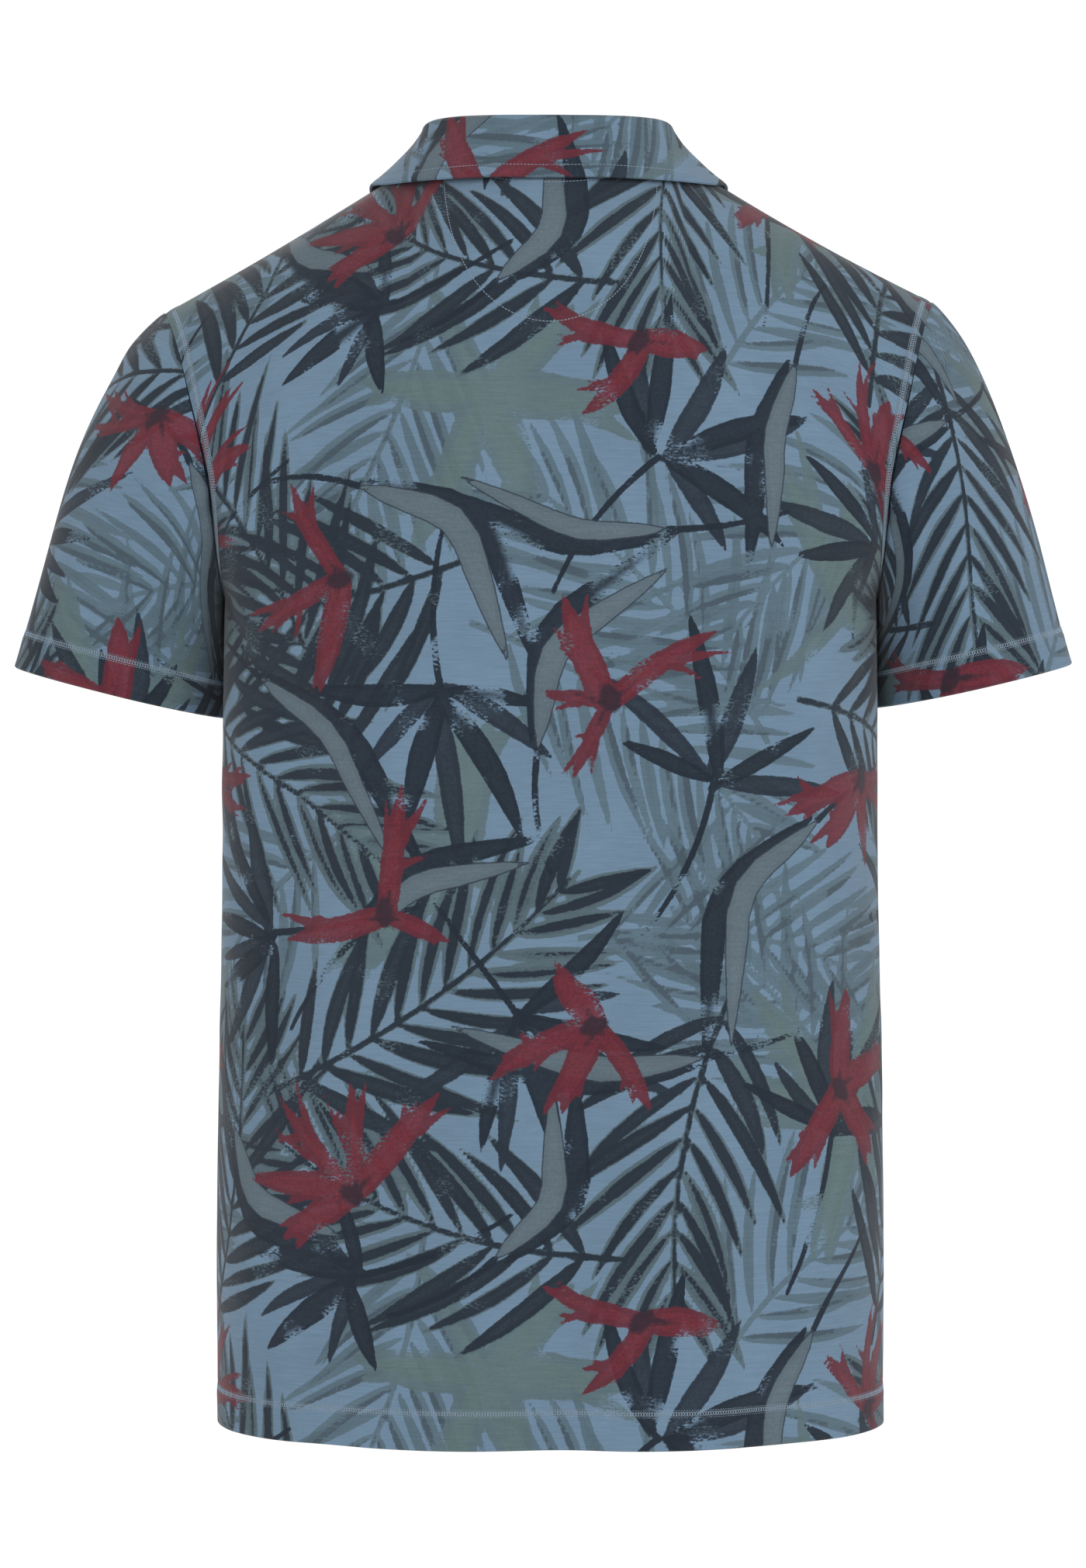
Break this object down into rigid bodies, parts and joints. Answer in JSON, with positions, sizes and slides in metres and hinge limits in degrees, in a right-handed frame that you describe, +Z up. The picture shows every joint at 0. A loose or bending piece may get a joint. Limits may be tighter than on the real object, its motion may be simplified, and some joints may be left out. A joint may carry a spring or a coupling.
{
  "type": "polo shirt",
  "caption": "Short-sleeved jersey polo shirt in its worn, hollow form, with turned-down collar, front placket, set-in sleeves and straight hem.",
  "frame": {"origin": "middle of the neck, level with the points where the shoulder seams meet the collar", "axes": "+Z up the wearer, -Y to the front of the shirt, +X to the wearer's left arm"},
  "size_m": [0.601, 0.2521, 0.7377],
  "materials": {
    "printed_jersey": "matt cotton jersey with an all-over leaf and flower print",
    "button_plastic": "satin dyed plastic",
    "thread": "matt sewing thread"
  },
  "bodies": {
    "root": {"back": "printed_jersey", "front": "printed_jersey", "sleeve_left": "printed_jersey", "sleeve_right": "printed_jersey", "collar": "printed_jersey", "placket_upper": "printed_jersey", "placket_under": "printed_jersey", "half_moon": "printed_jersey", "button_1": "button_plastic", "button_2": "button_plastic", "button_3": "button_plastic"}
  },
  "joints": []
}
